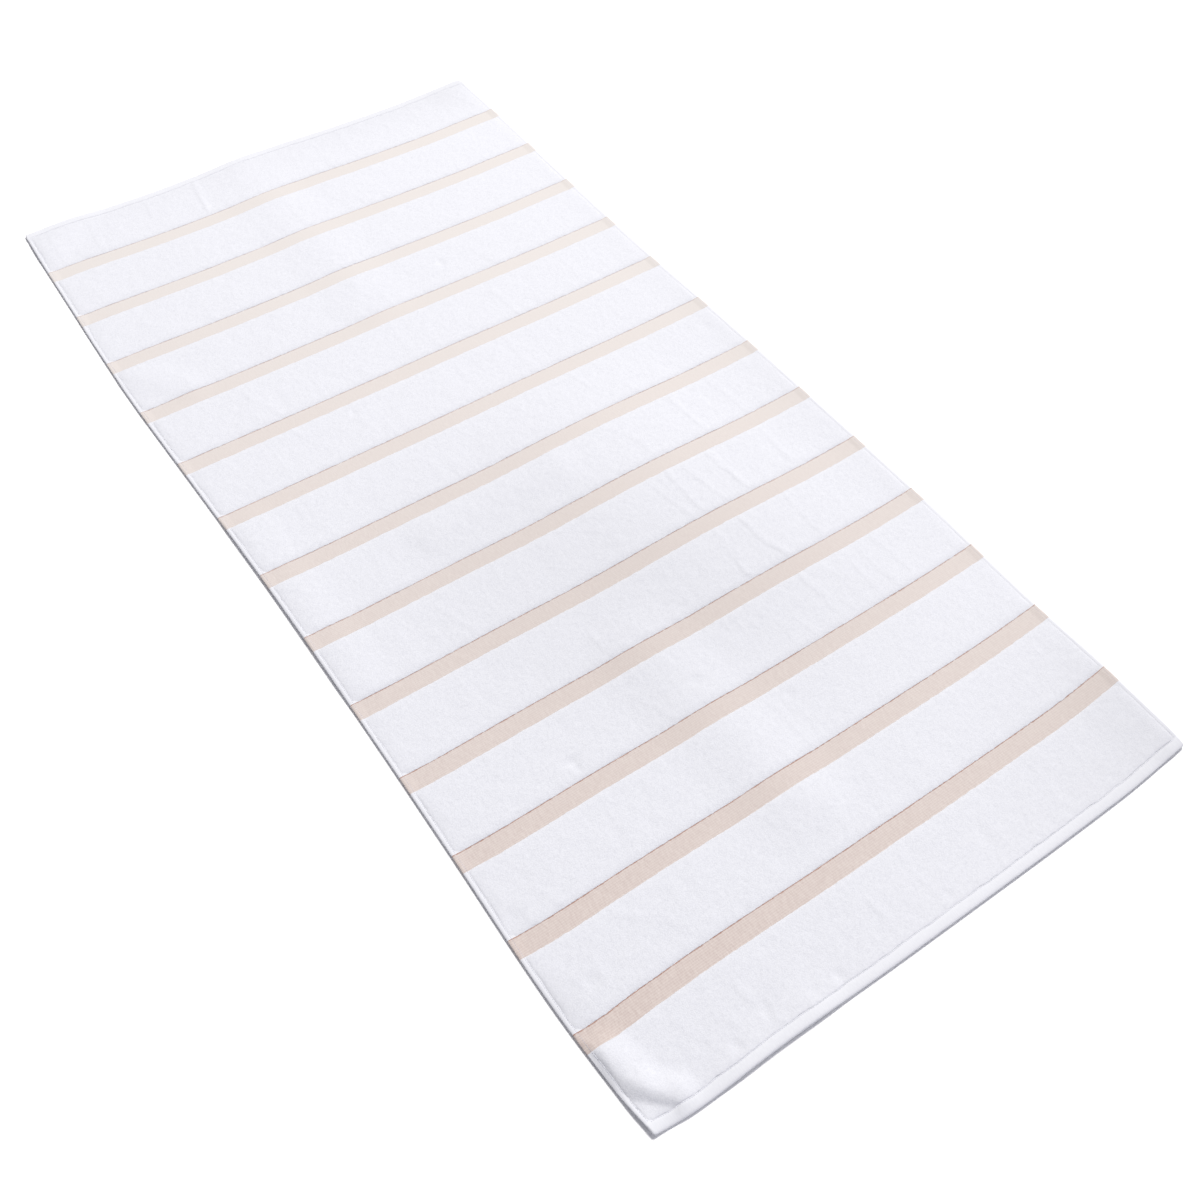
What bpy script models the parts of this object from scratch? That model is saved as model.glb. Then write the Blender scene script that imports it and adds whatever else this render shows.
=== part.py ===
"""A striped terry beach towel lying flat, as one closed solid.

The towel is woven in one piece: blocks of terry pile with flat-woven stripes between them,
a narrow hem down each side and a wider hem across each end. Metres, +Z up, +Y to the far end.
The origin is on the floor, under the middle of the towel's box.
"""

import math

import bmesh
import bpy

# The cloth as it was woven and hemmed.
BLOCKS = 14  # blocks of pile, with a stripe between each two
BLOCK = 0.100
STRIPE = 0.027
END_HEM = 0.015
SIDE_HEM = 0.0085
WIDTH = 0.857
LENGTH = BLOCKS * BLOCK + (BLOCKS - 1) * STRIPE + 2 * END_HEM
ROUND_CORNER, SQUARE_CORNER = 0.013, 0.003
PILE_WALL = 0.0015  # run over which the pile rises from a stripe or a hem
TOUCH = 1e-6  # distances closer than this are the same

# Heights of the lower and upper face above the floor where nothing lifts the cloth.
PILE_UNDER, PILE_OVER = 0.0, 0.0050
STRIPE_UNDER, STRIPE_OVER = 0.0015, 0.0030

# Hem sections: distance in from the edge, lower face, upper face.
END_HEM_SECTION = (
    # inward, under, over
    (0.0000, 0.0019, 0.0030),
    (0.0012, 0.0010, 0.0041),
    (0.0060, 0.0006, 0.0048),
    (END_HEM - 0.0003, 0.0014, 0.0034),
    (END_HEM + PILE_WALL, PILE_UNDER, PILE_OVER),
)
SIDE_HEM_SECTION = (
    # inward, under, over
    (0.0000, 0.0026, 0.0034),
    (0.0012, 0.0022, 0.0041),
    (SIDE_HEM, 0.0014, 0.0041),
    (SIDE_HEM + PILE_WALL, PILE_UNDER, PILE_OVER),
)

# How far each edge of the lying towel stands out from a straight line, in millimetres.
LEFT_EDGE = (
    # along, outward
    (-0.89, -8.5),
    (-0.86, -4.6),
    (-0.83, -1.8),
    (-0.70, 2.8),
    (-0.48, -0.9),
    (-0.28, -3.2),
    (-0.02, -3.4),
    (0.17, 0.2),
    (0.30, 3.3),
    (0.43, 5.9),
    (0.56, 4.4),
    (0.69, 1.2),
    (0.82, -1.9),
    (0.89, -5.0),
)
RIGHT_EDGE = (
    # along, outward
    (-0.89, -10.0),
    (-0.80, -7.3),
    (-0.67, -4.1),
    (-0.54, -1.0),
    (-0.40, 3.0),
    (-0.08, 3.2),
    (0.11, 1.1),
    (0.30, -3.1),
    (0.56, -1.0),
    (0.78, 2.2),
    (0.89, 0.0),
)
FAR_EDGE = (
    # across, outward
    (-0.43, 4.0),
    (-0.37, 4.6),
    (-0.31, 1.0),
    (-0.21, -3.1),
    (-0.11, -1.2),
    (-0.02, 2.8),
    (0.05, 2.4),
    (0.16, -3.1),
    (0.28, -5.0),
    (0.36, -1.5),
    (0.43, 0.5),
)
NEAR_EDGE = (
    # across, outward
    (-0.43, -6.0),
    (-0.37, -1.2),
    (-0.25, -2.5),
    (-0.06, 0.3),
    (0.30, 0.5),
    (0.43, -6.0),
)
# How far the stripes bow towards the far end, in millimetres.
STRIPE_BOW = (
    # across, towards the far end
    (-0.43, 2.7),
    (-0.30, 2.0),
    (-0.18, 1.4),
    (-0.06, -0.6),
    (0.10, -1.1),
    (0.27, -1.6),
    (0.35, -1.2),
    (0.43, 0.0),
)
FAR_BOW_SHARE = 0.6  # the stripes near the far end bow less
# The near left corner's fold drags the cloth beside it towards the near end.
DRAG = (-0.430, -0.765, 0.100, 0.0050)  # across, along, reach, how far

# Soft folds that raise the cloth off the floor: a ridge from one point to another.
FOLDS = (
    # name, x0, y0, x1, y1, half width, height
    ("far crest", -0.045, 0.90, -0.020, 0.42, 0.085, 0.0022),
    ("far left corner", -0.400, 0.84, -0.330, 0.90, 0.055, 0.0020),
    ("left bulge", -0.405, 0.47, -0.350, 0.41, 0.045, 0.0015),
    ("left margin", -0.400, 0.10, -0.400, -0.20, 0.060, 0.0020),
    ("right middle swell", 0.120, -0.06, 0.150, -0.28, 0.240, 0.0070),
    ("middle hump", -0.190, -0.055, 0.020, -0.045, 0.050, 0.0022),
    ("near crest", -0.060, -0.38, -0.040, -0.66, 0.090, 0.0040),
    ("near left corner", -0.414, -0.785, -0.404, -0.820, 0.036, 0.0055),
    ("near left corner end", -0.394, -0.845, -0.374, -0.862, 0.030, 0.0050),
    ("near left tip", -0.440, -0.86, -0.430, -0.90, 0.040, 0.0030),
    ("near right corner", 0.500, -0.95, 0.500, -0.76, 0.180, 0.0090),
    ("near hem", -0.370, -0.905, 0.340, -0.905, 0.045, 0.0026),
    ("near hem wave", -0.290, -0.90, -0.200, -0.89, 0.060, 0.0025),
    ("far right corner", 0.400, 0.86, 0.440, 0.90, 0.060, 0.0015),
)

# Columns and rows of the solid: finer at the sides and in the near block.
SIDE_COLUMNS = (0.028, 0.050, 0.078)
MIDDLE_COLUMNS = 15
BLOCK_ROWS = 3
NEAR_BLOCK_ROWS = 5

# Colours, as linear values.
TERRY_WHITE = (0.87, 0.88, 0.93, 1.0)
STRIPE_BEIGE = (0.76, 0.63, 0.57, 1.0)


def follow(rows, t):
    """Second column of a table at t in its first, by a smooth curve through the rows."""
    if t <= rows[0][0]:
        return rows[0][1]
    if t >= rows[-1][0]:
        return rows[-1][1]
    k = max(i for i, row in enumerate(rows) if row[0] <= t)
    (t0, v0), (t1, v1) = rows[k], rows[k + 1]
    before = rows[max(k - 1, 0)]
    after = rows[min(k + 2, len(rows) - 1)]
    slope0 = (v1 - before[1]) / (t1 - before[0]) * (t1 - t0)
    slope1 = (after[1] - v0) / (after[0] - t0) * (t1 - t0)
    s = (t - t0) / (t1 - t0)
    return (
        (2 * s**3 - 3 * s**2 + 1) * v0
        + (s**3 - 2 * s**2 + s) * slope0
        + (3 * s**2 - 2 * s**3) * v1
        + (s**3 - s**2) * slope1
    )


def inward_stations(section):
    return [row[0] for row in section]


def columns_across():
    """Distances from the left edge to the right edge where the solid has a column of points."""
    side = [*inward_stations(SIDE_HEM_SECTION), *SIDE_COLUMNS]
    middle = WIDTH - 2 * side[-1]
    inner = [side[-1] + middle * k / MIDDLE_COLUMNS for k in range(1, MIDDLE_COLUMNS)]
    return [*side, *inner, *(WIDTH - s for s in reversed(side))]


def rows_along():
    """Distances from the near edge to the far edge where the solid has a row of points."""
    end = inward_stations(END_HEM_SECTION)
    rows = end[:-1]
    for block in range(BLOCKS):
        start = END_HEM + block * (BLOCK + STRIPE)
        first, last = start + PILE_WALL, start + BLOCK - PILE_WALL
        count = NEAR_BLOCK_ROWS if block == 0 else BLOCK_ROWS
        rows += [first + (last - first) * k / count for k in range(count + 1)]
        if block < BLOCKS - 1:
            rows += [start + BLOCK, start + BLOCK + STRIPE]
    return rows + [LENGTH - s for s in reversed(end[:-1])]


def in_stripe(along):
    """Whether a distance from the near edge lies on a stripe or on its border."""
    if not END_HEM + BLOCK - TOUCH < along < LENGTH - END_HEM - BLOCK + TOUCH:
        return False
    past_block = (along - END_HEM - BLOCK + TOUCH) % (BLOCK + STRIPE)
    return past_block < STRIPE + 2 * TOUCH


def faces_flat(across, along):
    """Heights of the lower and the upper face at a point of the flat towel."""
    side = min(across, WIDTH - across)
    end = min(along, LENGTH - along)
    under, over = PILE_UNDER, PILE_OVER
    if in_stripe(along):
        under, over = STRIPE_UNDER, STRIPE_OVER
    if side < SIDE_HEM + PILE_WALL:
        under = follow([(row[0], row[1]) for row in SIDE_HEM_SECTION], side)
        over = follow([(row[0], row[2]) for row in SIDE_HEM_SECTION], side)
    if end < END_HEM + PILE_WALL:
        under = max(under, follow([(row[0], row[1]) for row in END_HEM_SECTION], end))
        over = min(over, follow([(row[0], row[2]) for row in END_HEM_SECTION], end))
    return under, over


def fold_lift(x, y):
    """How far the folds raise the cloth at a place on the floor."""
    lift = 0.0
    for _, x0, y0, x1, y1, half_width, height in FOLDS:
        run_x, run_y = x1 - x0, y1 - y0
        share = ((x - x0) * run_x + (y - y0) * run_y) / (run_x**2 + run_y**2)
        share = min(1.0, max(0.0, share))
        away = math.hypot(x - x0 - share * run_x, y - y0 - share * run_y)
        if away < half_width:
            lift += height * (1 + math.cos(math.pi * away / half_width)) / 2
    return lift


def corner_cut(across, along):
    """How far the nearest corner's rounding draws in the side: the far right one is the round one."""
    far_right = across > WIDTH / 2 and along > LENGTH / 2
    radius = ROUND_CORNER if far_right else SQUARE_CORNER
    end, side = min(along, LENGTH - along), min(across, WIDTH - across)
    if end >= radius or side >= 4 * radius:
        return 0.0
    cut = radius - math.sqrt(radius**2 - (radius - end) ** 2)
    return cut * (1 - side / (4 * radius))


def lie(across, along):
    """Where a point of the flat towel lies on the floor."""
    a, b = across - WIDTH / 2, along - LENGTH / 2
    right, far = across / WIDTH, along / LENGTH
    outward = right * follow(RIGHT_EDGE, b) - (1 - right) * follow(LEFT_EDGE, b)
    ends = far**4 * follow(FAR_EDGE, a) - (1 - far) ** 4 * follow(NEAR_EDGE, a)
    bow = (1 - (1 - FAR_BOW_SHARE) * far) * follow(STRIPE_BOW, a)
    middle = 1 - far**4 - (1 - far) ** 4
    x = a + outward / 1000 - math.copysign(corner_cut(across, along), a)
    dragged = min(1.0, math.hypot(a - DRAG[0], b - DRAG[1]) / DRAG[2])
    y = b + (ends + bow * middle) / 1000 - DRAG[3] * (1 + math.cos(math.pi * dragged)) / 2
    return x, y


def principled(name, colour, roughness):
    material = bpy.data.materials.new(name)
    material.use_nodes = True
    shader = material.node_tree.nodes["Principled BSDF"]
    shader.inputs["Base Color"].default_value = colour
    shader.inputs["Roughness"].default_value = roughness
    material.diffuse_color = colour
    return material


def make_towel():
    """A grid over the flat towel, extruded to a second face, then laid with its folds."""
    columns, rows = columns_across(), rows_along()
    bm = bmesh.new()
    across_steps, along_steps = len(columns) - 1, len(rows) - 1
    bmesh.ops.create_grid(bm, x_segments=across_steps, y_segments=along_steps, size=0.5)
    lower = bm.verts[:]
    made = bmesh.ops.extrude_face_region(bm, geom=bm.faces[:], use_keep_orig=True)
    upper = [v for v in made["geom"] if isinstance(v, bmesh.types.BMVert)]
    for face in bm.faces:
        row = int((face.calc_center_median().y + 0.5) * along_steps)
        middle = (rows[row] + rows[min(row + 1, along_steps)]) / 2
        face.material_index = int(in_stripe(middle))
    for side, points in enumerate((lower, upper)):
        for v in points:
            across = columns[round((v.co.x + 0.5) * across_steps)]
            along = rows[round((v.co.y + 0.5) * along_steps)]
            x, y = lie(across, along)
            v.co = (x, y, faces_flat(across, along)[side] + fold_lift(x, y))
    low = [min(v.co[k] for v in bm.verts) for k in range(3)]
    high = [max(v.co[k] for v in bm.verts) for k in range(3)]
    shift = (-(low[0] + high[0]) / 2, -(low[1] + high[1]) / 2, -low[2])
    bmesh.ops.translate(bm, verts=bm.verts[:], vec=shift)
    bmesh.ops.recalc_face_normals(bm, faces=bm.faces[:])
    mesh = bpy.data.meshes.new("towel")
    bm.to_mesh(mesh)
    bm.free()
    mesh.materials.append(principled("white cotton terry", TERRY_WHITE, 0.95))
    mesh.materials.append(principled("beige flat-woven stripe", STRIPE_BEIGE, 0.85))
    towel = bpy.data.objects.new("towel", mesh)
    bpy.context.scene.collection.objects.link(towel)
    return towel


def clear_scene():
    for item in list(bpy.data.objects):
        bpy.data.objects.remove(item, do_unlink=True)


clear_scene()
towel = make_towel()
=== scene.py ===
"""Looks of a striped terry beach towel that lies flat: woven cloth, pile blocks and stitching."""

import math

import bpy
import numpy as np
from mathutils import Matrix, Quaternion, Vector


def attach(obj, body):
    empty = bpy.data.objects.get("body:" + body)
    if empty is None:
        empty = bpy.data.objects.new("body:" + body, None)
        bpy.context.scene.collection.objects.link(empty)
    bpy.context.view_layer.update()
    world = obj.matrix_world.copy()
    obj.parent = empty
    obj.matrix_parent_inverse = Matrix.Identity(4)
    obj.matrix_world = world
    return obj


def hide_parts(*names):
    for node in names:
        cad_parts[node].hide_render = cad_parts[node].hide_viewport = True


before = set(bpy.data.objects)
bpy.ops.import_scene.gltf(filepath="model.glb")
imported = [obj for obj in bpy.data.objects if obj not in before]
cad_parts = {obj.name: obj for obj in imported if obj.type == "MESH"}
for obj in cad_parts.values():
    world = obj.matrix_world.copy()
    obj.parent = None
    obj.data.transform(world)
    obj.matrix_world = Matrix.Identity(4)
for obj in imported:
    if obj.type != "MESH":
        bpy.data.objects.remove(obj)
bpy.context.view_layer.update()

MM = 0.001

# The cloth as it was woven and hemmed, in metres.
BLOCKS = 14  # blocks of pile, with a stripe between each two
BLOCK = 0.100
STRIPE = 0.027
END_HEM = 0.015
SIDE_HEM = 0.0085
WIDTH = 0.857
LENGTH = BLOCKS * BLOCK + (BLOCKS - 1) * STRIPE + 2 * END_HEM
ROUND_CORNER, SQUARE_CORNER = 0.013, 0.003  # only the far right corner is rounded off
CENTRING = (0.0011, -0.0017)  # brings the middle of the lying towel's box to the origin
TOUCH = 1e-6  # places nearer than this count as the same

PILE_TOP = 5.0 * MM
STRIPE_UNDER, STRIPE_OVER = 1.5 * MM, 3.0 * MM
GROUND_UNDER, GROUND_OVER = 1.9 * MM, 3.0 * MM  # the ground cloth inside the pile

# Hem sections: distance in from the edge, lower face, upper face, all in millimetres.
END_HEM_SECTION = (
    # inward, under, over
    (0.0, 2.2, 2.5),
    (0.7, 1.3, 3.3),
    (2.0, 0.9, 4.0),
    (4.0, 0.6, 4.5),
    (6.5, 0.6, 4.8),
    (9.0, 0.7, 4.95),
    (11.4, 0.8, 4.9),
    (13.6, 1.2, 4.5),
    (14.5, 1.6, 4.0),
    (15.4, 1.8, 3.9),
)
SIDE_HEM_SECTION = (
    # inward, under, over
    (0.0, 2.8, 3.1),
    (0.25, 2.5, 3.7),
    (0.9, 2.3, 4.1),
    (2.4, 2.0, 4.3),
    (4.4, 1.8, 4.3),
    (5.3, 1.9, 3.9),
    (6.2, 1.7, 3.8),
    (8.5, 1.5, 3.8),
)

# The seams of the right and far hems lie in shallower grooves than the sections give.
RIGHT_SEAM_FROM, RIGHT_SEAM_OVER = 4.0 * MM, 4.12 * MM
FAR_SEAM_FROM, FAR_SEAM_OVER = 11.0 * MM, 4.6 * MM
END_HEM_LAP = 0.3 * MM  # the end hem's section reaches this far past the hem
CORNER_THIN = 0.5 * MM  # where hems cross, this much of the edge is as thin as the thinner hem
PUCKER_MIDDLE = 3.0 * MM  # the thread puckers the side hems, most this far in
# Where the cloth is raised, the lower layer of its end hem sags towards the floor.
SAG_SHARE, SAG_REACH = 0.8, 10.0 * MM

# How far each edge of the lying towel stands out from a straight line, in millimetres.
LEFT_EDGE = (
    # along, outward
    (-0.89, -8.5),
    (-0.86, -4.6),
    (-0.83, -1.8),
    (-0.70, 2.8),
    (-0.48, -0.9),
    (-0.28, -3.2),
    (-0.02, -3.4),
    (0.17, 0.2),
    (0.30, 3.3),
    (0.43, 5.9),
    (0.56, 4.4),
    (0.69, 1.2),
    (0.82, -1.9),
    (0.89, -5.0),
)
RIGHT_EDGE = (
    # along, outward
    (-0.89, -10.0),
    (-0.80, -7.3),
    (-0.67, -4.1),
    (-0.54, -1.0),
    (-0.40, 3.0),
    (-0.08, 3.2),
    (0.11, 1.1),
    (0.30, -3.1),
    (0.56, -1.0),
    (0.78, 2.2),
    (0.89, 0.0),
)
FAR_EDGE = (
    # across, outward
    (-0.43, 4.0),
    (-0.37, 4.6),
    (-0.31, 1.0),
    (-0.21, -3.1),
    (-0.11, -1.2),
    (-0.02, 2.8),
    (0.05, 2.4),
    (0.16, -3.1),
    (0.28, -5.0),
    (0.36, -1.5),
    (0.43, 0.5),
)
NEAR_EDGE = (
    # across, outward
    (-0.43, -6.0),
    (-0.37, -1.2),
    (-0.25, -2.5),
    (-0.06, 0.3),
    (0.30, 0.5),
    (0.43, -6.0),
)
# How far the stripes bow towards the far end, in millimetres.
STRIPE_BOW = (
    # across, towards the far end
    (-0.43, 2.7),
    (-0.30, 2.0),
    (-0.18, 1.4),
    (-0.06, -0.6),
    (0.10, -1.1),
    (0.27, -1.6),
    (0.35, -1.2),
    (0.43, 0.0),
)
FAR_BOW_SHARE = 0.6  # the stripes near the far end bow less
# The near left corner's fold drags the cloth beside it towards the near end.
DRAG = (-0.430, -0.765, 0.100, 0.0050)  # across, along, reach, how far

# The seams wander a little, and take the cloth beside them along.
SEAM_LUMP = 16.0 * MM
END_SEAM_WANDER, END_SEAM_REACH = 0.7 * MM, 9.0 * MM
SIDE_SEAM_WANDER, SIDE_SEAM_REACH = 0.5 * MM, 6.0 * MM

# Soft folds that raise the cloth off the floor, as in the solid: a ridge between two points.
FOLDS = (
    # name, x0, y0, x1, y1, half width, height
    ("far crest", -0.045, 0.90, -0.020, 0.42, 0.085, 0.0022),
    ("far left corner", -0.400, 0.84, -0.330, 0.90, 0.055, 0.0020),
    ("left bulge", -0.405, 0.47, -0.350, 0.41, 0.045, 0.0015),
    ("left margin", -0.400, 0.10, -0.400, -0.20, 0.060, 0.0020),
    ("right middle swell", 0.120, -0.06, 0.150, -0.28, 0.240, 0.0070),
    ("middle hump", -0.190, -0.055, 0.020, -0.045, 0.050, 0.0022),
    ("near crest", -0.060, -0.38, -0.040, -0.66, 0.090, 0.0040),
    ("near left corner", -0.414, -0.785, -0.404, -0.820, 0.036, 0.0055),
    ("near left corner end", -0.394, -0.845, -0.374, -0.862, 0.030, 0.0050),
    ("near left tip", -0.440, -0.86, -0.430, -0.90, 0.040, 0.0030),
    ("near right corner", 0.500, -0.95, 0.500, -0.76, 0.180, 0.0090),
    ("near hem", -0.370, -0.905, 0.340, -0.905, 0.045, 0.0026),
    ("near hem wave", -0.290, -0.90, -0.200, -0.89, 0.060, 0.0025),
    ("far right corner", 0.400, 0.86, 0.440, 0.90, 0.060, 0.0015),
)

# The near left corner's fold is tucked in along this line, so the cloth outside it lies flat.
TUCK = (
    (-0.4270, -0.7700),
    (-0.4262, -0.7960),
    (-0.4264, -0.8150),
    (-0.4238, -0.8300),
    (-0.4185, -0.8425),
    (-0.4055, -0.8550),
    (-0.3920, -0.8670),
    (-0.3860, -0.8730),
)
TUCK_WIDTH, TUCK_LEFT = 9.5 * MM, 0.05
# The tip of the near right corner droops back towards the floor.
DROOP = (0.422, -0.888, 0.034, 0.6)  # x, y, reach, share of the lift

# Patches of painted shade, where the cloth's colour is darkened in place of shading from the light.
PAINTED_SHADES = (
    # x, y, reach across, reach along, depth of the shade
    (-0.120, -0.200, 0.280, 0.450, 0.055),
    (0.120, -0.360, 0.300, 0.360, 0.045),
    (0.450, -0.950, 0.400, 0.450, 0.090),
    (0.450, 0.950, 0.480, 0.230, 0.080),
    (0.450, 0.000, 0.110, 0.900, 0.045),
    (-0.430, -0.720, 0.060, 0.070, 0.050),
    (0.000, 0.960, 0.600, 0.170, 0.055),
)

# Small pleats in the pile. Each runs between two points and is steep on its left side.
STEEP, GENTLE = 6.0 * MM, 12.0 * MM
FAINT, PLAIN, STRONG = 0.20 * MM, 0.37 * MM, 0.7 * MM
PLEATS = (
    # x0, y0, x1, y1, height
    (-0.390, 0.875, -0.395, 0.790, PLAIN),
    (-0.325, 0.850, -0.330, 0.790, FAINT),
    (-0.220, 0.875, -0.225, 0.820, PLAIN),
    (-0.130, 0.875, -0.140, 0.790, STRONG),
    (0.060, 0.870, 0.040, 0.790, FAINT),
    (0.155, 0.870, 0.145, 0.790, FAINT),
    (0.180, 0.870, 0.205, 0.835, PLAIN),
    (0.300, 0.875, 0.300, 0.830, FAINT),
    (0.375, 0.880, 0.410, 0.800, FAINT),
    (-0.080, 0.615, -0.075, 0.535, FAINT),
    (-0.285, 0.335, -0.260, 0.280, PLAIN),
    (0.020, 0.330, 0.015, 0.280, FAINT),
    (0.155, 0.340, 0.160, 0.275, PLAIN),
    (0.295, 0.340, 0.295, 0.275, FAINT),
    (-0.305, 0.230, -0.305, 0.170, FAINT),
    (-0.260, 0.235, -0.235, 0.165, PLAIN),
    (-0.170, 0.225, -0.160, 0.170, PLAIN),
    (0.110, 0.235, 0.110, 0.160, PLAIN),
    (0.295, 0.225, 0.295, 0.165, FAINT),
    (0.150, 0.105, 0.160, 0.045, FAINT),
    (0.210, 0.075, 0.210, 0.020, FAINT),
    (0.120, -0.020, 0.145, -0.050, PLAIN),
    (0.145, -0.050, 0.155, -0.105, PLAIN),
    (0.245, -0.025, 0.250, -0.105, PLAIN),
    (0.320, -0.025, 0.330, -0.105, PLAIN),
    (-0.185, -0.025, -0.175, -0.080, FAINT),
    (-0.290, -0.150, -0.280, -0.215, FAINT),
    (-0.255, -0.165, -0.230, -0.225, PLAIN),
    (-0.155, -0.160, -0.160, -0.220, FAINT),
    (0.115, -0.150, 0.125, -0.225, PLAIN),
    (0.147, -0.147, 0.147, -0.230, STRONG),
    (0.175, -0.150, 0.187, -0.230, STRONG),
    (0.220, -0.147, 0.230, -0.230, STRONG),
    (0.320, -0.150, 0.320, -0.225, PLAIN),
    (0.135, -0.277, 0.128, -0.360, STRONG),
    (0.180, -0.277, 0.185, -0.330, STRONG),
    (0.185, -0.330, 0.195, -0.360, STRONG),
    (0.266, -0.277, 0.263, -0.360, PLAIN),
    (0.323, -0.285, 0.323, -0.345, FAINT),
    (0.033, -0.277, 0.033, -0.360, FAINT),
    (-0.108, -0.320, -0.103, -0.360, PLAIN),
    (-0.130, -0.405, -0.095, -0.485, PLAIN),
    (0.135, -0.450, 0.145, -0.485, PLAIN),
    (0.187, -0.405, 0.194, -0.485, STRONG),
    (0.263, -0.430, 0.263, -0.485, PLAIN),
    (0.291, -0.405, 0.291, -0.485, PLAIN),
    (0.320, -0.405, 0.326, -0.475, PLAIN),
    (-0.370, -0.580, -0.355, -0.615, PLAIN),
    (0.022, -0.540, 0.026, -0.615, PLAIN),
    (0.326, -0.580, 0.326, -0.615, FAINT),
    (-0.365, -0.690, -0.365, -0.725, PLAIN),
    (-0.312, -0.660, -0.253, -0.715, PLAIN),
    (-0.416, -0.780, -0.415, -0.812, 0.9 * MM),
    (-0.415, -0.812, -0.406, -0.836, 1.0 * MM),
    (-0.406, -0.836, -0.388, -0.853, 0.8 * MM),
    (-0.330, -0.800, -0.305, -0.865, PLAIN),
    (-0.290, -0.800, -0.270, -0.865, PLAIN),
    (-0.250, -0.810, -0.235, -0.865, STRONG),
    (-0.058, -0.815, -0.055, -0.865, PLAIN),
    (0.012, -0.795, 0.012, -0.875, FAINT),
    (0.232, -0.805, 0.228, -0.865, FAINT),
)
# Small hollows pressed into the pile.
HOLLOWS = (
    # x, y, reach across, reach along, depth
    (0.121, 0.446, 0.010, 0.018, 0.9 * MM),
    (0.058, 0.453, 0.010, 0.012, 0.4 * MM),
    (-0.169, 0.220, 0.008, 0.014, 0.8 * MM),
    (0.393, 0.073, 0.015, 0.025, 0.5 * MM),
    (-0.237, -0.464, 0.022, 0.009, 1.5 * MM),
    (-0.237, -0.475, 0.009, 0.016, 0.9 * MM),
    (-0.040, -0.458, 0.018, 0.012, 1.0 * MM),
    (-0.410, -0.600, 0.018, 0.020, 1.2 * MM),
    (0.051, -0.542, 0.014, 0.012, 0.7 * MM),
    (-0.378, -0.711, 0.016, 0.018, 1.0 * MM),
    (-0.183, -0.740, 0.014, 0.012, 0.6 * MM),
    (-0.290, -0.860, 0.012, 0.014, 1.2 * MM),
    (-0.239, -0.845, 0.011, 0.018, 1.1 * MM),
    (-0.180, -0.863, 0.012, 0.012, 0.9 * MM),
    (-0.145, -0.864, 0.012, 0.014, 1.2 * MM),
    (-0.193, -0.786, 0.022, 0.014, 0.5 * MM),
    (0.027, -0.862, 0.009, 0.012, 0.6 * MM),
    (0.117, -0.830, 0.016, 0.025, 0.5 * MM),
)

CREASES_ON_CLOTH = 0.5  # pleats and hollows are half as high and deep on hems and stripes

# Spacing of the points on the pile, and how many there are on the cloth.
COLUMN_STEP = 2.1 * MM
ROW_STEP = 2.3 * MM
CLOTH_COLUMNS = 205  # between the side hems
CLOTH_ROWS = 8  # in each block and in each stripe


def follow(rows, t):
    """Second column of a table at each t in its first, by a smooth curve through the rows."""
    keys = np.array([row[0] for row in rows], float)
    values = np.array([row[1] for row in rows], float)
    t = np.clip(t, keys[0], keys[-1])
    k = np.clip(np.searchsorted(keys, t, side="right") - 1, 0, len(keys) - 2)
    before, after = np.maximum(k - 1, 0), np.minimum(k + 2, len(keys) - 1)
    run = keys[k + 1] - keys[k]
    slope0 = (values[k + 1] - values[before]) / (keys[k + 1] - keys[before]) * run
    slope1 = (values[after] - values[k]) / (keys[after] - keys[k]) * run
    s = (t - keys[k]) / run
    return (
        (2 * s**3 - 3 * s**2 + 1) * values[k]
        + (s**3 - 2 * s**2 + s) * slope0
        + (3 * s**2 - 2 * s**3) * values[k + 1]
        + (s**3 - s**2) * slope1
    )


def uneven(x, y, size, seed):
    """Smooth seeded unevenness from -1 to 1, in lumps of the given size."""
    u, v = (x + 2.0) / size, (y + 2.0) / size
    cells = np.random.default_rng(seed).uniform(-1, 1, (int(4 / size) + 2, int(4 / size) + 2))
    i, j = np.floor(u).astype(int), np.floor(v).astype(int)
    a, b = u - i, v - j
    a, b = a * a * (3 - 2 * a), b * b * (3 - 2 * b)
    low = cells[i, j] * (1 - a) + cells[i + 1, j] * a
    high = cells[i, j + 1] * (1 - a) + cells[i + 1, j + 1] * a
    return low * (1 - b) + high * b


def bell(away):
    """1 at 0, falling smoothly to 0 at 1 and past it."""
    return (1 + np.cos(math.pi * np.clip(np.abs(away), 0, 1))) / 2


def beside(x, y, x0, y0, x1, y1):
    """Distance from the line between two points, and whether that is on its left."""
    run_x, run_y = x1 - x0, y1 - y0
    share = ((x - x0) * run_x + (y - y0) * run_y) / (run_x**2 + run_y**2)
    share = np.clip(share, 0, 1)
    off_x, off_y = x - x0 - share * run_x, y - y0 - share * run_y
    return np.hypot(off_x, off_y), off_x < 0


def corner_cut(across, along):
    """How far the nearest corner's rounding draws in the side."""
    far_right = (across > WIDTH / 2) & (along > LENGTH / 2)
    radius = np.where(far_right, ROUND_CORNER, SQUARE_CORNER)
    end = np.minimum(along, LENGTH - along)
    side = np.minimum(across, WIDTH - across)
    short = np.clip(radius - end, 0, radius)
    return (radius - np.sqrt(radius**2 - short**2)) * np.clip(1 - side / (4 * radius), 0, 1)


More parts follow.
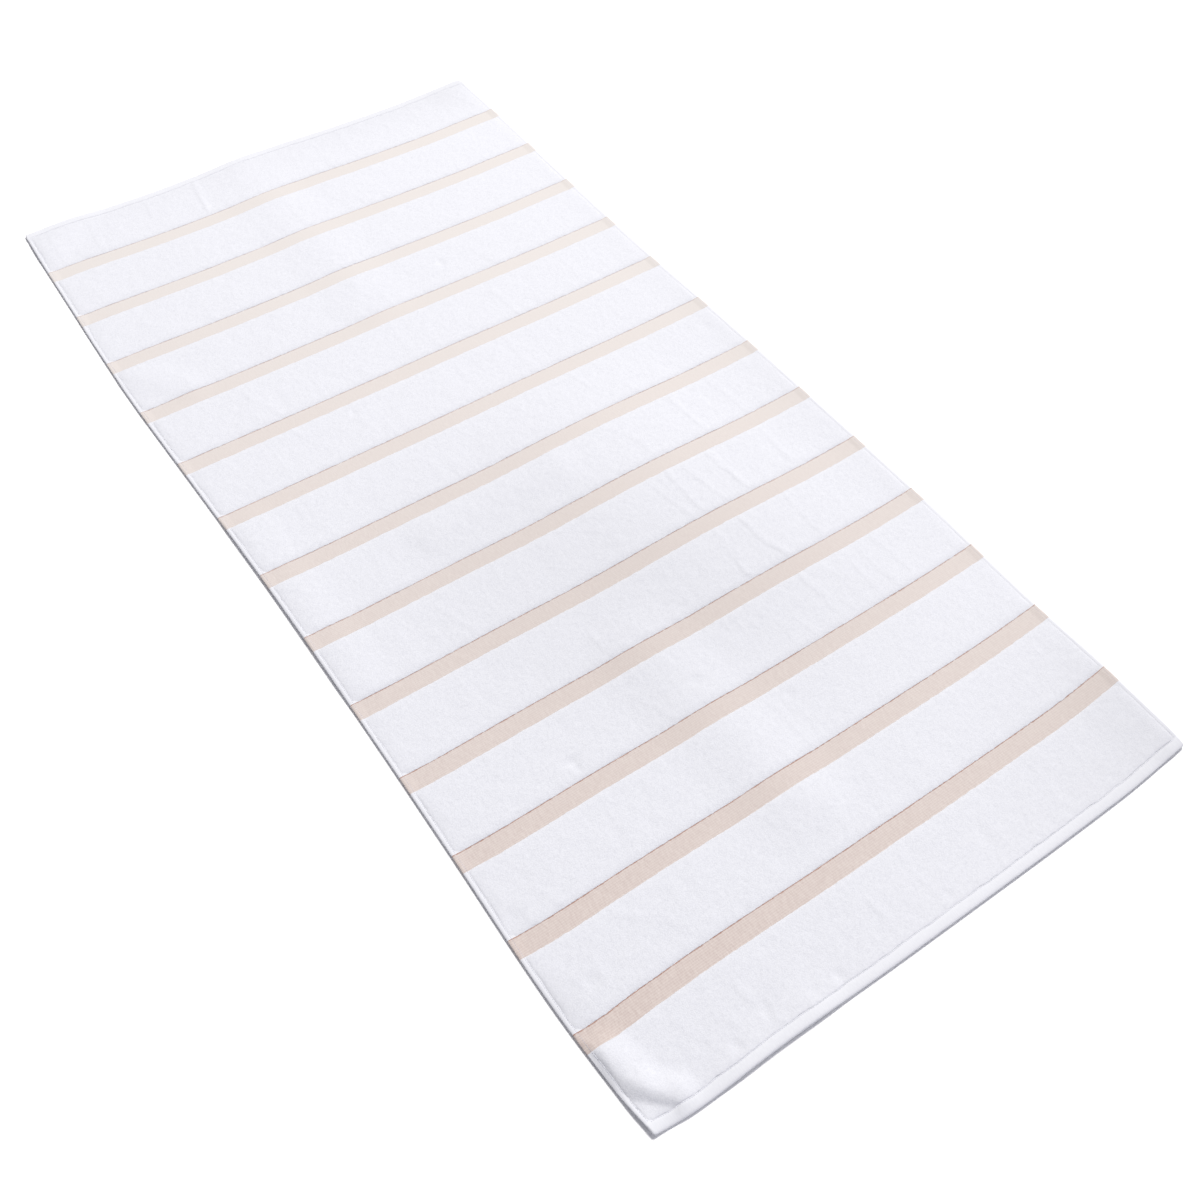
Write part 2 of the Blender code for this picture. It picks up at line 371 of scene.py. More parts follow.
def lie(across, along):
    """Where points of the flat towel lie on the floor, before centring."""
    a, b = across - WIDTH / 2, along - LENGTH / 2
    right, far = across / WIDTH, along / LENGTH
    outward = right * follow(RIGHT_EDGE, b) - (1 - right) * follow(LEFT_EDGE, b)
    ends = far**4 * follow(FAR_EDGE, a) - (1 - far) ** 4 * follow(NEAR_EDGE, a)
    bow = (1 - (1 - FAR_BOW_SHARE) * far) * follow(STRIPE_BOW, a)
    middle = 1 - far**4 - (1 - far) ** 4
    x = a + outward * MM - np.sign(a) * corner_cut(across, along)
    y = b + (ends + bow * middle) * MM
    y = y - DRAG[3] * bell(np.hypot(a - DRAG[0], b - DRAG[1]) / DRAG[2])
    end = np.minimum(along, LENGTH - along)
    side = np.minimum(across, WIDTH - across)
    end_wander = uneven(a, 0 * a, SEAM_LUMP, 31) * END_SEAM_WANDER
    side_wander = uneven(0 * b, b, SEAM_LUMP, 32) * SIDE_SEAM_WANDER
    y = y + end_wander * bell((end - END_HEM) / END_SEAM_REACH)
    x = x + side_wander * bell((side - SIDE_HEM) / SIDE_SEAM_REACH)
    return x, y


def fold_lift(x, y):
    """How far the folds raise the cloth at each place on the floor."""
    lift = np.zeros_like(x)
    for name, x0, y0, x1, y1, half_width, height in FOLDS:
        away, _ = beside(x, y, x0, y0, x1, y1)
        rise = height * bell(away / half_width)
        lift += rise * tucked(x, y) if name.startswith("near left corner") else rise
    tip_x, tip_y, reach, lost = DROOP
    return lift * (1 - lost * bell(np.hypot(x - tip_x, y - tip_y) / reach))


def tucked(x, y):
    """How much of the corner fold is left at each place: little outside the tuck."""
    nearest = np.full_like(x, 1.0)
    outside = np.zeros_like(x, bool)
    for (x0, y0), (x1, y1) in zip(TUCK, TUCK[1:]):
        away, left = beside(x, y, x0, y0, x1, y1)
        outside = np.where(away < nearest, left, outside)
        nearest = np.minimum(away, nearest)
    held = np.clip(1 - nearest / TUCK_WIDTH, 0, 1) ** 2
    return 1 - (1 - TUCK_LEFT) * np.where(outside, 1.0, held)


def painted_shade_depth(x, y):
    """How much the painted shade darkens the cloth's colour at each place."""
    depth = np.zeros_like(x)
    for x0, y0, reach_x, reach_y, most in PAINTED_SHADES:
        depth += most * bell(np.hypot((x - x0) / reach_x, (y - y0) / reach_y))
    return depth


def creases(x, y):
    """Height of the small pleats, less the depth of the hollows, at each place."""
    height = np.zeros_like(x)
    sway = uneven(x, y, 19 * MM, 21) * 2.0 * MM + uneven(x, y, 7 * MM, 22) * 0.8 * MM
    strength = 0.75 + 0.45 * uneven(x, y, 30 * MM, 23)
    for x0, y0, x1, y1, top in PLEATS:
        away, left = beside(x + sway, y, x0, y0, x1, y1)
        reach = np.where(left, STEEP, GENTLE)
        height = np.maximum(height, top * bell(away / reach))
    height *= strength
    for x0, y0, reach_x, reach_y, depth in HOLLOWS:
        height -= depth * bell(np.hypot((x - x0) / reach_x, (y - y0) / reach_y))
    return height


def mesh_piece(name, points, faces):
    """A smooth mesh object at the origin."""
    mesh = bpy.data.meshes.new(name)
    mesh.from_pydata(points, [], faces)
    mesh.update()
    piece = bpy.data.objects.new(name, mesh)
    bpy.context.scene.collection.objects.link(piece)
    mesh.shade_smooth()
    return piece


def add_values(piece, name, values):
    """Stores one number a point, for a material to read."""
    layer = piece.data.attributes.new(name, "FLOAT", "POINT")
    layer.data.foreach_set("value", values.ravel().astype(np.float32))


def grid_faces(columns, rows, wrap_rows=False):
    """Quads of a grid of points stored row by row; wrap_rows joins the last row to the first."""
    j, i = np.mgrid[0 : rows - (0 if wrap_rows else 1), 0 : columns - 1]
    j, i = j.ravel(), i.ravel()
    up = (j + 1) % rows
    quads = (j * columns + i, j * columns + i + 1, up * columns + i + 1, up * columns + i)
    return np.stack(quads, 1)


# ---------------------------------------------------------------- cloth and hems


def cloth_columns():
    """Distances from the left edge where the cloth has a column of points."""
    side = [row[0] * MM for row in SIDE_HEM_SECTION]
    inner = np.linspace(side[-1], WIDTH - side[-1], CLOTH_COLUMNS)[1:-1]
    return np.array([*side, *inner, *(WIDTH - s for s in reversed(side))])


def cloth_rows():
    """Distances from the near edge where the cloth has a row of points."""
    end = [row[0] * MM for row in END_HEM_SECTION]
    rows = list(end)
    for block in range(BLOCKS):
        start = END_HEM + block * (BLOCK + STRIPE)
        inside = np.linspace(start, start + BLOCK, CLOTH_ROWS)
        rows += list(inside[1:-1])
        if block < BLOCKS - 1:
            rows += list(np.linspace(start + BLOCK, start + BLOCK + STRIPE, CLOTH_ROWS))
    return np.array(rows + [LENGTH - s for s in reversed(end)])


def in_stripe(along):
    """Whether each distance from the near edge lies on a stripe."""
    inner = (along > END_HEM + BLOCK - TOUCH) & (along < LENGTH - END_HEM - BLOCK + TOUCH)
    past_block = (along - END_HEM - BLOCK + TOUCH) % (BLOCK + STRIPE)
    return inner & (past_block < STRIPE + 2 * TOUCH)


def section_levels(section, inward):
    """Heights of a hem's lower and upper face at each distance in from its edge."""
    under = follow([(row[0], row[1]) for row in section], inward / MM) * MM
    over = follow([(row[0], row[2]) for row in section], inward / MM) * MM
    return under, over


def cloth_levels(across, along):
    """Heights of the flat cloth's lower and upper face at each place."""
    side = np.minimum(across, WIDTH - across)
    end = np.minimum(along, LENGTH - along)
    under = np.where(in_stripe(along), STRIPE_UNDER, GROUND_UNDER)
    over = np.where(in_stripe(along), STRIPE_OVER, GROUND_OVER)
    at_side = side < SIDE_HEM + TOUCH
    side_under, side_over = section_levels(SIDE_HEM_SECTION, side)
    under, over = np.where(at_side, side_under, under), np.where(at_side, side_over, over)
    right_seam = (across > WIDTH / 2) & at_side & (side > RIGHT_SEAM_FROM)
    over = np.where(right_seam, np.maximum(over, RIGHT_SEAM_OVER), over)
    at_end = end < END_HEM + END_HEM_LAP
    end_under, end_over = section_levels(END_HEM_SECTION, end)
    at_tip = at_side & (side < CORNER_THIN)
    under = np.where(at_end, np.where(at_tip, np.maximum(end_under, side_under), end_under), under)
    over = np.where(at_end, np.where(at_tip, np.minimum(end_over, side_over), end_over), over)
    far_seam = (along > LENGTH / 2) & at_end & (end > FAR_SEAM_FROM)
    over = np.where(far_seam, np.maximum(over, FAR_SEAM_OVER), over)
    return under, over


def rim_points(columns, rows):
    """Indices of a grid's outer points, once around."""
    rim = [*range(columns)]
    rim += [(j + 1) * columns - 1 for j in range(1, rows)]
    rim += [columns * rows - 1 - i for i in range(1, columns)]
    rim += [j * columns for j in range(rows - 2, 0, -1)]
    return np.array(rim)


def make_cloth():
    """The woven towel without its pile: ground cloth, stripes, and side and end hems."""
    columns, rows = cloth_columns(), cloth_rows()
    across, along = np.meshgrid(columns, rows)
    side = np.minimum(across, WIDTH - across)
    end = np.minimum(along, LENGTH - along)
    under, over = cloth_levels(across, along)
    x, y = lie(across, along)
    pucker = uneven(x, y * 0.4, 7 * MM, 3) * 0.22 * MM + uneven(x, y, 18 * MM, 4) * 0.18 * MM
    over = over + pucker * bell(1 - side / PUCKER_MIDDLE)
    rise = fold_lift(x, y)
    shade = painted_shade_depth(x, y)
    small = creases(x, y) * CREASES_ON_CLOTH
    x, y = x + CENTRING[0], y + CENTRING[1]
    sag = SAG_SHARE * np.clip(1 - end / SAG_REACH, 0, 1)
    layers = [np.stack([x, y, over + small + rise], -1), np.stack([x, y, under + rise * (1 - sag)], -1)]
    count = x.size
    points = np.concatenate([layer.reshape(-1, 3) for layer in layers])
    quads = grid_faces(len(columns), len(rows))
    rim = rim_points(len(columns), len(rows))
    following = np.roll(rim, -1)
    walls = np.stack([rim + count, following + count, following, rim], 1)
    faces = np.concatenate([quads, quads[:, ::-1] + count, walls])
    cloth = mesh_piece("towel_cloth", points, faces.tolist())
    # Stripe faces get the second material and the rest the first.
    row_of = np.concatenate([quads[:, 0], quads[:, 0], rim % count]) // len(columns)
    row_of = np.minimum(row_of, len(rows) - 2)
    striped = in_stripe((rows[row_of] + rows[row_of + 1]) / 2)
    cloth.data.polygons.foreach_set("material_index", striped.astype(np.int32))
    # How far each point is from the far border of its stripe, for the painted shade along that border.
    into = (LENGTH - END_HEM - BLOCK - along) % (BLOCK + STRIPE)
    add_values(cloth, "into_stripe", np.stack([into, into]))
    # Depth of the painted shade, which the materials darken the colour by.
    add_values(cloth, "shade", np.stack([shade, shade]))
    return cloth


# ---------------------------------------------------------------- pile

# Sections of a block's borders: distance in from the border, height, in millimetres. The loops
# lean towards the near end, so the near border slopes and the far border is steep.
NEAR_BORDER = (
    # inward, height
    (9.5, 5.0),
    (7.0, 4.85),
    (4.6, 4.5),
    (2.6, 4.05),
    (1.3, 3.65),
    (0.5, 3.35),
    (0.0, 3.05),
    (0.1, 2.4),
    (0.0, 1.5),
    (0.4, 0.6),
    (1.6, 0.0),
)
FAR_BORDER = (
    # inward, height
    (9.5, 5.0),
    (6.5, 4.9),
    (4.0, 4.7),
    (2.0, 4.45),
    (0.8, 4.15),
    (0.0, 3.7),
    (-0.1, 3.2),
    (0.2, 2.4),
    (0.0, 1.5),
    (0.4, 0.6),
    (1.6, 0.0),
)
# Height of the pile's two faces near its left and right ends, in millimetres.
PILE_ENDS = (
    # inward, under, over
    (0.0, 2.2, 3.7),
    (0.5, 1.4, 4.1),
    (1.5, 0.9, 4.35),
    (3.2, 0.5, 4.55),
    (6.0, 0.2, 4.75),
    (10.0, 0.0, 4.9),
    (15.0, 0.0, 5.0),
)
# Layers of unevenness on top of the pile, from single tufts to broad waves.
TUFTS = (
    # amount and size in millimetres, seed
    (0.10, 2.1, 11),
    (0.13, 5.5, 12),
    (0.18, 14, 13),
    (0.30, 45, 14),
)
# The borders of a block wander, loop by loop and over longer stretches.
LOOP_WANDER, LOOP_LUMP = 0.45, 2.4 * MM
LONG_WANDER, LONG_LUMP = 0.5, 9.0 * MM
WANDER_REACH = 4.0 * MM
# So do the left and right ends of its rows of loops.
END_WANDER, END_LUMP, END_REACH = 0.7 * MM, 3.2 * MM, 6.0 * MM
PILE_OVER_HEM = 2.6 * MM  # the pile covers this much of the side hem


def make_pile(block):
    """One block of looped pile, on both faces of the ground cloth."""
    start = END_HEM + block * (BLOCK + STRIPE)
    ends = [row[0] * MM + SIDE_HEM - PILE_OVER_HEM for row in PILE_ENDS]
    count = int((WIDTH - 2 * ends[-1]) / COLUMN_STEP)
    inner = np.linspace(ends[-1], WIDTH - ends[-1], count)[1:-1]
    columns = np.array([*ends, *inner, *(WIDTH - e for e in reversed(ends))])
    # Against the near hem's seam the pile ends as steeply as at a far border.
    near_border = NEAR_BORDER if block else FAR_BORDER
    near = [(inward * MM, z * MM) for inward, z in reversed(near_border)]
    far = [(BLOCK - inward * MM, z * MM) for inward, z in FAR_BORDER]
    first, last = near[-1][0], far[0][0]
    count = int((last - first) / ROW_STEP)
    top = [(first + k * (last - first) / count, PILE_TOP) for k in range(1, count)]
    under = [(BLOCK * share, 0.0) for share in (0.8, 0.6, 0.4, 0.2)]
    section = np.array([*near, *top, *far, *under])
    across, offset = np.meshgrid(columns, section[:, 0])
    _, level = np.meshgrid(columns, section[:, 1])
    toward = np.clip(1 - np.minimum(offset, BLOCK - offset) / WANDER_REACH, 0, 1)
    lane = np.full_like(across, block * 0.1)  # each block has its own wander
    wander = LOOP_WANDER * uneven(across, lane, LOOP_LUMP, 40)
    wander = wander + LONG_WANDER * uneven(across, lane, LONG_LUMP, 41)
    # The two borders of a block wander differently.
    wander = np.where(offset > BLOCK / 2, np.roll(wander, 7, axis=1), -wander)
    along = start + offset + wander * MM * toward
    x, y = lie(across, along)
    side = np.minimum(across, WIDTH - across) - ends[0]
    ragged = side + np.where(side < END_REACH, uneven(x * 0.3, y, END_LUMP, 43) * END_WANDER, 0.0)
    inward = [row[0] * MM for row in PILE_ENDS]
    floor_side = np.interp(ragged, inward, [row[1] * MM for row in PILE_ENDS])
    roof_side = np.interp(ragged, inward, [row[2] * MM for row in PILE_ENDS])
    z = floor_side + (roof_side - floor_side) * level / PILE_TOP
    on_top = np.clip(level / PILE_TOP, 0, 1) ** 2 * np.clip(side / (3 * MM), 0.15, 1)
    tufts = sum(amount * uneven(x, y, size * MM, seed) for amount, size, seed in TUFTS)
    z = z + on_top * (tufts * MM + creases(x, y)) + fold_lift(x, y)
    shade = painted_shade_depth(x, y)
    x, y = x + CENTRING[0], y + CENTRING[1]
    points = np.stack([x, y, z], -1).reshape(-1, 3)
    quads = grid_faces(len(columns), len(section), wrap_rows=True)
    caps = [
        [j * len(columns) for j in reversed(range(len(section)))],
        [(j + 1) * len(columns) - 1 for j in range(len(section))],
    ]
    pile = mesh_piece(f"pile_{block + 1:02d}", points, quads.tolist() + caps)
    # Depth of the painted shade, which the material darkens the colour by.
    add_values(pile, "shade", shade)
    return pile


# ---------------------------------------------------------------- stitches

STITCH_PITCH, STITCH_LENGTH, THREAD = 3.0 * MM, 2.3 * MM, 0.55 * MM
SIDE_SEAM, END_SEAM = 5.3 * MM, 13.9 * MM  # in from the edge
STITCH_PROUD = 0.10 * MM  # how far a stitch's middle stands off the cloth
END_SEAM_START = 8.0 * MM  # the end seams stop this far from the sides


def one_stitch():
    """A stitch: a short plump length of thread along X. Returns its points and faces."""
    bpy.ops.object.select_all(action="DESELECT")
    bpy.ops.mesh.primitive_uv_sphere_add(segments=6, ring_count=4, radius=0.5, location=(0, 0, 0))
    stitch = bpy.context.object
    points = np.array([v.co[:] for v in stitch.data.vertices])
    faces = [list(p.vertices) for p in stitch.data.polygons]
    bpy.data.objects.remove(stitch, do_unlink=True)
    points = points[:, [2, 0, 1]] * (STITCH_LENGTH, THREAD, THREAD)
    return points, faces


def make_stitches(name, across, along, section, inward):
    """Stitches at the given places of the flat towel, each towards the next, on both faces."""
    shape, shape_faces = one_stitch()
    x, y = lie(across, along)
    lift = fold_lift(x, y)
    under, over = section_levels(section, np.full_like(x, inward))
    run = np.stack([np.gradient(x), np.gradient(y)], -1)
    run /= np.linalg.norm(run, axis=1, keepdims=True)
    points, faces = [], []
    for level in (over + STITCH_PROUD + lift, under - STITCH_PROUD + lift):
        for place_x, place_y, place_z, (run_x, run_y) in zip(x, y, level, run):
            first = len(points) * len(shape)
            turned_x = shape[:, 0] * run_x - shape[:, 1] * run_y + place_x + CENTRING[0]
            turned_y = shape[:, 0] * run_y + shape[:, 1] * run_x + place_y + CENTRING[1]
            points.append(np.stack([turned_x, turned_y, shape[:, 2] + place_z], -1))
            faces += [[first + k for k in face] for face in shape_faces]
    return mesh_piece(name, np.concatenate(points), faces)


def make_seams():
    """The stitch lines of the four hems: the side seams run from end hem to end hem."""
    along = np.arange(2 * MM, LENGTH - 2 * MM, STITCH_PITCH)
    across = np.arange(END_SEAM_START, WIDTH - END_SEAM_START, STITCH_PITCH)
    seams = []
    for name, place in (("left", SIDE_SEAM), ("right", WIDTH - SIDE_SEAM)):
        middle = along[(along > END_HEM) & (along < LENGTH - END_HEM)]
        seams.append(
            make_stitches(
                f"stitches_{name}", np.full_like(middle, place), middle, SIDE_HEM_SECTION, SIDE_SEAM
            )
        )
    for name, place in (("near", END_SEAM), ("far", LENGTH - END_SEAM)):
        seams.append(
            make_stitches(
                f"stitches_{name}", across, np.full_like(across, place), END_HEM_SECTION, END_SEAM
            )
        )
    return seams


# ---------------------------------------------------------------- materials


def hex_colour(text):
    """Linear RGBA from an sRGB hex value."""
    parts = [int(text[k : k + 2], 16) / 255 for k in (0, 2, 4)]
    linear = [p / 12.92 if p <= 0.04045 else ((p + 0.055) / 1.055) ** 2.4 for p in parts]
    return (*linear, 1.0)


def add_node(tree, kind, settings=None, inputs=None):
    """Adds a node with its settings, and links or sets its inputs."""
    node = tree.nodes.new(kind)
    for key, value in (settings or {}).items():
        setattr(node, key, value)
    for key, value in (inputs or {}).items():
        if isinstance(value, bpy.types.NodeSocket):
            tree.links.new(value, node.inputs[key])
        else:
            node.inputs[key].default_value = value
    return node


def new_material(name):
    """An empty node material, and its tree."""
    material = bpy.data.materials.new(name)
    material.use_nodes = True
    material.node_tree.nodes.clear()
    return material, material.node_tree


def with_painted_shade(tree, colour):
    """The colour, darker and a little bluer where painted shade darkens it."""
    depth = add_node(tree, "ShaderNodeAttribute", {"attribute_name": "shade"}).outputs["Fac"]
    return add_node(
        tree,
        "ShaderNodeMix",
        {"data_type": "RGBA"},
        {"Factor": depth, 6: colour, 7: hex_colour("00000c")},
    ).outputs[2]


def finish_material(tree, shader):
    """Puts the shader on the material's surface."""
    add_node(tree, "ShaderNodeOutputMaterial", inputs={"Surface": shader.outputs["BSDF"]})


# Real loops and picks are finer than these, which is too fine to show.
LOOP_SIZE, LUMP_SIZE = 1.7 * MM, 5.0 * MM
RIB_PITCH = 1.5 * MM
THREAD_GRAIN = (1.2 * MM, 6.0 * MM, 2.0 * MM)
# The painted shade along each stripe's far border, at the foot of the pile beyond it, comes and goes in
# dashes of uneven reach into the stripe.
DASH_SIZE = (7.0 * MM, 60.0 * MM, 60.0 * MM)
DASH_SHORT, DASH_LONG, DASH_SOFT = 0.6 * MM, 2.2 * MM, 0.3 * MM
# Painted light: the stripes' colour is made paler towards the far end and the right side, where the
# light falls more strongly.
PAINTED_LIGHT_WAY = (0.7, 1.0, 0.0)  # the stripes are paler towards the far end and the right side


def terry_pile():
    """Bleached cotton terry: upright yarn loops that look soft, matt and slightly grainy."""
    material, tree = new_material("white cotton terry pile")
    place = add_node(tree, "ShaderNodeTexCoord").outputs["Object"]
    loops = add_node(
        tree,
        "ShaderNodeTexVoronoi",
        {"feature": "F1"},
        {"Vector": place, "Scale": 1 / LOOP_SIZE, "Randomness": 1.0},
    )
    lumps = add_node(
        tree,
        "ShaderNodeTexNoise",
        inputs={"Vector": place, "Scale": 1 / LUMP_SIZE, "Detail": 3.0, "Roughness": 0.6},
    )
    height = add_node(
        tree,
        "ShaderNodeMath",
        {"operation": "MULTIPLY_ADD"},
        {0: loops.outputs["Distance"], 1: -0.8, 2: lumps.outputs["Fac"]},
    )
    shade = add_node(
        tree,
        "ShaderNodeMapRange",
        inputs={"Value": height.outputs[0], "From Min": -0.35, "From Max": 0.45},
    )
    # The colour is darker where the loops and lumps are low: painted shade in the hollows of the pile.
    colour = add_node(
        tree,
        "ShaderNodeMix",
        {"data_type": "RGBA"},
        {"Factor": shade.outputs[0], 6: hex_colour("d1d2d8"), 7: hex_colour("dcdde2")},
    )
    bump = add_node(
        tree,
        "ShaderNodeBump",
        inputs={"Height": height.outputs[0], "Strength": 0.25, "Distance": 0.8 * MM},
    )
    shader = add_node(
        tree,
        "ShaderNodeBsdfPrincipled",
        inputs={
            "Base Color": with_painted_shade(tree, colour.outputs[2]),
            "Roughness": 0.95,
            "Specular IOR Level": 0.2,
            "Sheen Weight": 0.3,
            "Sheen Roughness": 0.6,
            "Normal": bump.outputs[0],
        },
    )
    finish_material(tree, shader)
    return material


def painted_border_shade(tree, place, colour, border, far):
    """The colour, paler towards the far end and the right side as painted light, with dashes of painted
    shade in the border colour along the stripe's far border.
    """
    toward = add_node(
        tree,
        "ShaderNodeVectorMath",
        {"operation": "DOT_PRODUCT"},
        {0: place, 1: PAINTED_LIGHT_WAY},
    ).outputs["Value"]
    painted_light = add_node(
        tree,
        "ShaderNodeMapRange",
        inputs={"Value": toward, "From Min": -1.05, "From Max": 0.5, "To Max": 0.9},
    )
    colour = add_node(
        tree,
        "ShaderNodeMix",
        {"data_type": "RGBA"},
        {"Factor": painted_light.outputs[0], 6: colour, 7: hex_colour(far)},
    ).outputs[2]
    into = add_node(
        tree, "ShaderNodeAttribute", {"attribute_name": "into_stripe"}
    ).outputs["Fac"]
    stretched = add_node(
        tree,
        "ShaderNodeMapping",
        inputs={"Vector": place, "Scale": [1 / size for size in DASH_SIZE]},
    )
    dashes = add_node(
        tree,
        "ShaderNodeTexNoise",
        inputs={"Vector": stretched.outputs[0], "Scale": 1.0, "Detail": 3.0, "Roughness": 0.7},
    )
    reach = add_node(
        tree,
        "ShaderNodeMapRange",
        inputs={
            "Value": dashes.outputs["Fac"],
            "From Min": 0.35,
            "From Max": 0.65,
            "To Min": DASH_SHORT,
            "To Max": DASH_LONG,
        },
    )
    # The painted shade of the border is paler towards the far end too.
    strength = add_node(
        tree,
        "ShaderNodeMapRange",
        inputs={
            "Value": toward,
            "From Min": -0.6,
            "From Max": 0.5,
            "To Min": 0.95,
            "To Max": 0.4,
        },
    )
    near = add_node(
        tree,
        "ShaderNodeMapRange",
        inputs={
            "Value": into,
            "From Min": reach.outputs[0],
            "From Max": DASH_SOFT,
            "To Max": strength.outputs[0],
        },
    )
    return add_node(
        tree,
        "ShaderNodeMix",
        {"data_type": "RGBA"},
        {"Factor": near.outputs[0], 6: colour, 7: hex_colour(border)},
    ).outputs[2]


def flat_weave(name, low, high, border, far, ribbing, sheen):
    """Flat-woven cotton: fine cross ribs and a faint grain; low and high are its colours."""
    material, tree = new_material(name)
    place = add_node(tree, "ShaderNodeTexCoord").outputs["Object"]
    ribs = add_node(
        tree,
        "ShaderNodeTexWave",
        {"wave_type": "BANDS", "bands_direction": "Y"},
        {"Vector": place, "Scale": 1 / (RIB_PITCH * 2 * math.pi), "Distortion": 0.6, "Detail": 1.0},
    )
    threads = add_node(
        tree,
        "ShaderNodeMapping",
        inputs={"Vector": place, "Scale": [1 / size for size in THREAD_GRAIN]},
    )
    grain = add_node(
        tree,
        "ShaderNodeTexNoise",
        inputs={"Vector": threads.outputs[0], "Scale": 1.0, "Detail": 2.0},
    )
    fac = add_node(
        tree,
        "ShaderNodeMath",
        {"operation": "MULTIPLY_ADD"},
        {0: ribs.outputs["Fac"], 1: ribbing, 2: grain.outputs["Fac"]},
    )
    shade = add_node(
        tree, "ShaderNodeMapRange", inputs={"Value": fac.outputs[0], "From Min": 0.35, "From Max": 1.0}
    )
    colour = add_node(
        tree,
        "ShaderNodeMix",
        {"data_type": "RGBA"},
        {"Factor": shade.outputs[0], 6: hex_colour(low), 7: hex_colour(high)},
    ).outputs[2]
    # Painted shade along the stripe's far border, and painted light towards the far end and the right
    # side.
    if border:
        colour = painted_border_shade(tree, place, colour, border, far)
    bump = add_node(
        tree,
        "ShaderNodeBump",
        inputs={"Height": fac.outputs[0], "Strength": 0.3, "Distance": 0.3 * MM},
    )
    shader = add_node(
        tree,
        "ShaderNodeBsdfPrincipled",
        inputs={
            "Base Color": with_painted_shade(tree, colour),
            "Roughness": 0.9,
            "Specular IOR Level": 0.2,
            "Sheen Weight": sheen,
            "Normal": bump.outputs[0],
        },
    )
    finish_material(tree, shader)
    return material


# ---------------------------------------------------------------- stage

TARGET = Vector((-0.0616, -0.2790, 0.0022))  # where the camera looks
DISTANCE = 1.8262
AZIMUTH, ELEVATION, ROLL = -36.79, 53.04, 2.12  # degrees
LENS = 40.25
KEY_PLACE, KEY_TARGET = Vector((5.6, 3.8, 10.1)), Vector((0.2, 0.2, 0))
KEY_SIZE, KEY_POWER = 2.9, 1610
FLOOR_RADIUS = 3.2
WORLD_DIM, WORLD_BRIGHT = 0.13, 0.79  # light from the studio's dim and bright sides
WORLD_BRIGHT_WAY = (0.75, -0.65, 0.0)


def make_camera():
    """The camera, turned about its target and rolled about its own axis."""
    data = bpy.data.cameras.new("camera")
    data.lens = LENS
    data.sensor_width = 36.0
    camera = bpy.data.objects.new("camera", data)
    bpy.context.scene.collection.objects.link(camera)
    a, e = math.radians(AZIMUTH), math.radians(ELEVATION)
    back = Vector((math.sin(a) * math.cos(e), -math.cos(a) * math.cos(e), math.sin(e)))
    camera.location = TARGET + back * DISTANCE
    turn = (-back).to_track_quat("-Z", "Y") @ Quaternion((0, 0, 1), math.radians(ROLL))
    camera.rotation_mode = "QUATERNION"
    camera.rotation_quaternion = turn
    bpy.context.scene.camera = camera


def make_light(name, place, target, size, power):
    """A round softbox, very slightly warm."""
    data = bpy.data.lights.new(name, "AREA")
    data.shape = "DISK"
    data.size = size
    data.color = hex_colour("fffdf8")[:3]
    data.energy = power
    light = bpy.data.objects.new(name, data)
    bpy.context.scene.collection.objects.link(light)
    light.location = place
    light.rotation_mode = "QUATERNION"
    light.rotation_quaternion = (target - place).to_track_quat("-Z", "Y")


def make_floor():
    """A pale round floor, small enough that its rim is out of sight."""
    bpy.ops.object.select_all(action="DESELECT")
    bpy.ops.mesh.primitive_circle_add(vertices=96, radius=FLOOR_RADIUS, fill_type="NGON")
    floor = bpy.context.object
    floor.name = "floor"
    material, tree = new_material("pale matt studio floor")
    shader = add_node(
        tree,
        "ShaderNodeBsdfPrincipled",
        inputs={"Base Color": hex_colour("f8f8f8"), "Roughness": 0.9, "Specular IOR Level": 0.1},
    )
    finish_material(tree, shader)
    floor.data.materials.append(material)


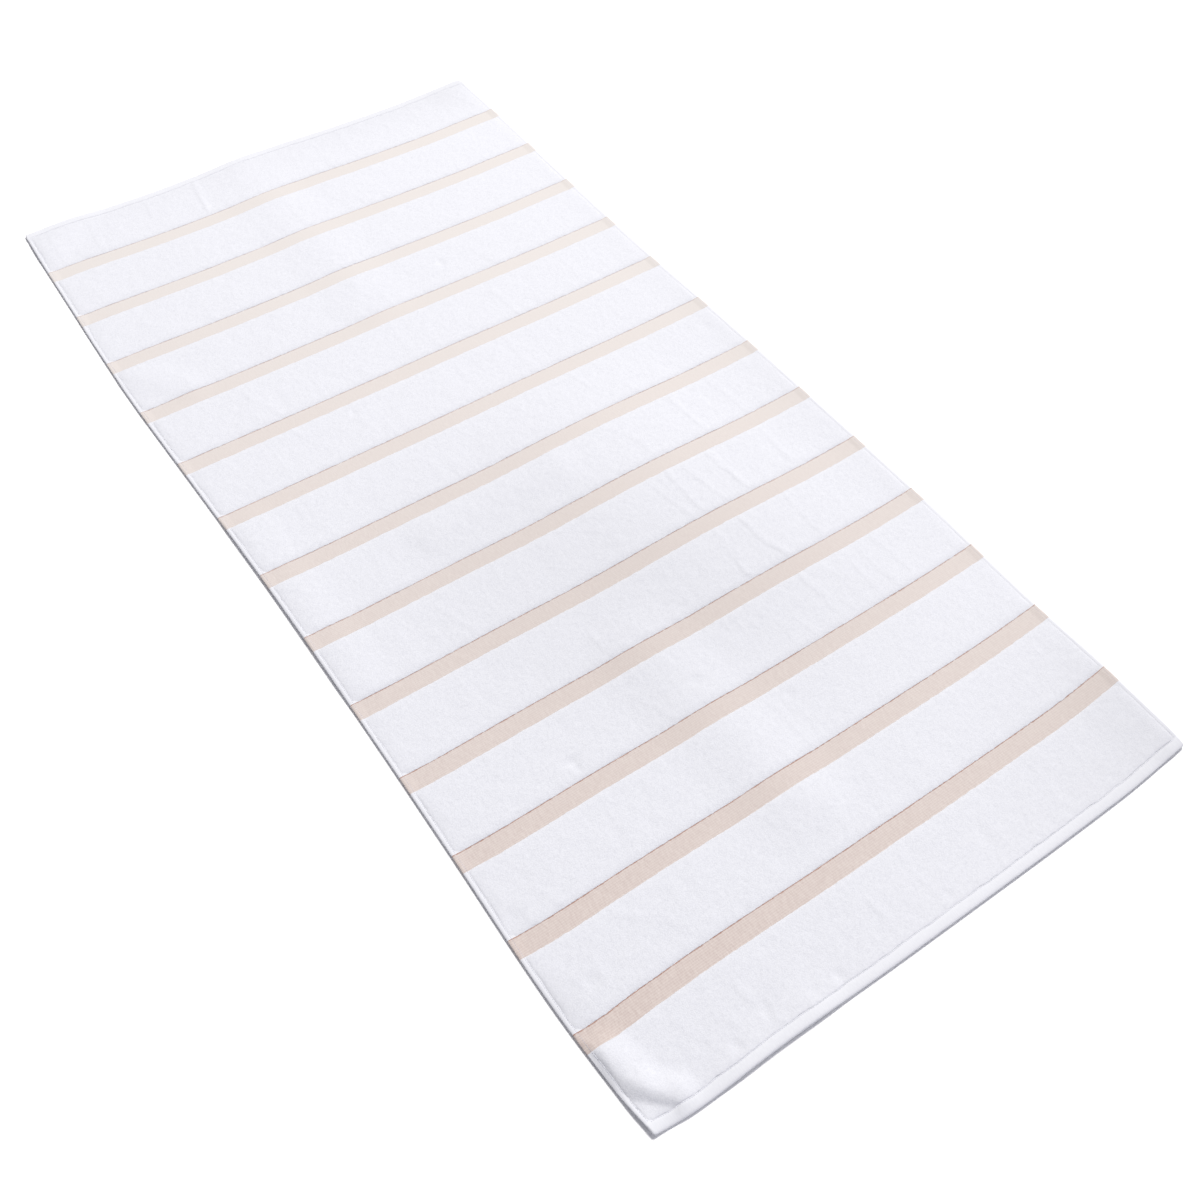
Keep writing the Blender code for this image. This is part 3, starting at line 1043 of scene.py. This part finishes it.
def make_world():
    """A pale lavender studio, dimmer on the left; seen directly it is plain white."""
    world = bpy.data.worlds.new("studio")
    bpy.context.scene.world = world
    world.use_nodes = True
    tree = world.node_tree
    tree.nodes.clear()
    way = add_node(tree, "ShaderNodeTexCoord").outputs["Generated"]
    side = add_node(
        tree,
        "ShaderNodeVectorMath",
        {"operation": "DOT_PRODUCT"},
        {0: way, 1: WORLD_BRIGHT_WAY},
    )
    strength = add_node(
        tree,
        "ShaderNodeMapRange",
        inputs={
            "Value": side.outputs["Value"],
            "From Min": -1.0,
            "To Min": WORLD_DIM,
            "To Max": WORLD_BRIGHT,
        },
    )
    soft = add_node(
        tree,
        "ShaderNodeBackground",
        inputs={"Color": hex_colour("f3f3ff"), "Strength": strength.outputs[0]},
    )
    plain = add_node(tree, "ShaderNodeBackground", inputs={"Color": hex_colour("ffffff")})
    seen = add_node(tree, "ShaderNodeLightPath").outputs["Is Camera Ray"]
    both = add_node(
        tree,
        "ShaderNodeMixShader",
        inputs={0: seen, 1: soft.outputs[0], 2: plain.outputs[0]},
    )
    add_node(tree, "ShaderNodeOutputWorld", inputs={"Surface": both.outputs[0]})


make_camera()
make_floor()
make_world()
make_light("key softbox", KEY_PLACE, KEY_TARGET, KEY_SIZE, KEY_POWER)
bpy.context.scene.view_settings.view_transform = "Standard"

pile_white = terry_pile()
# Hems and thread have no ribs. The thread is white, but painted greyer than the cloth: painted shade
# for the groove it sits in.
hem_white = flat_weave("white flat-woven cotton", "d8d9de", "e2e3e7", None, None, 0.0, 0.2)
# The stripe's border colour is painted shade at the foot of the pile, and its far colour is the paler
# tone of painted light.
stripe_beige = flat_weave("beige flat-woven cotton", "c0b1ab", "d4c9c2", "96634c", "d5d0cc", 0.22, 0.6)

cloth = make_cloth()
cloth.data.materials.append(hem_white)
cloth.data.materials.append(stripe_beige)
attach(cloth, "root")
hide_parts("towel")

blocks = [make_pile(block) for block in range(BLOCKS)]
for pile in blocks:
    pile.data.materials.append(pile_white)
    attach(pile, "root")
thread = flat_weave("white sewing thread", "bdbecb", "cacbd6", None, None, 0.0, 0.2)
for seam in make_seams():
    seam.data.materials.append(thread)
    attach(seam, "root")
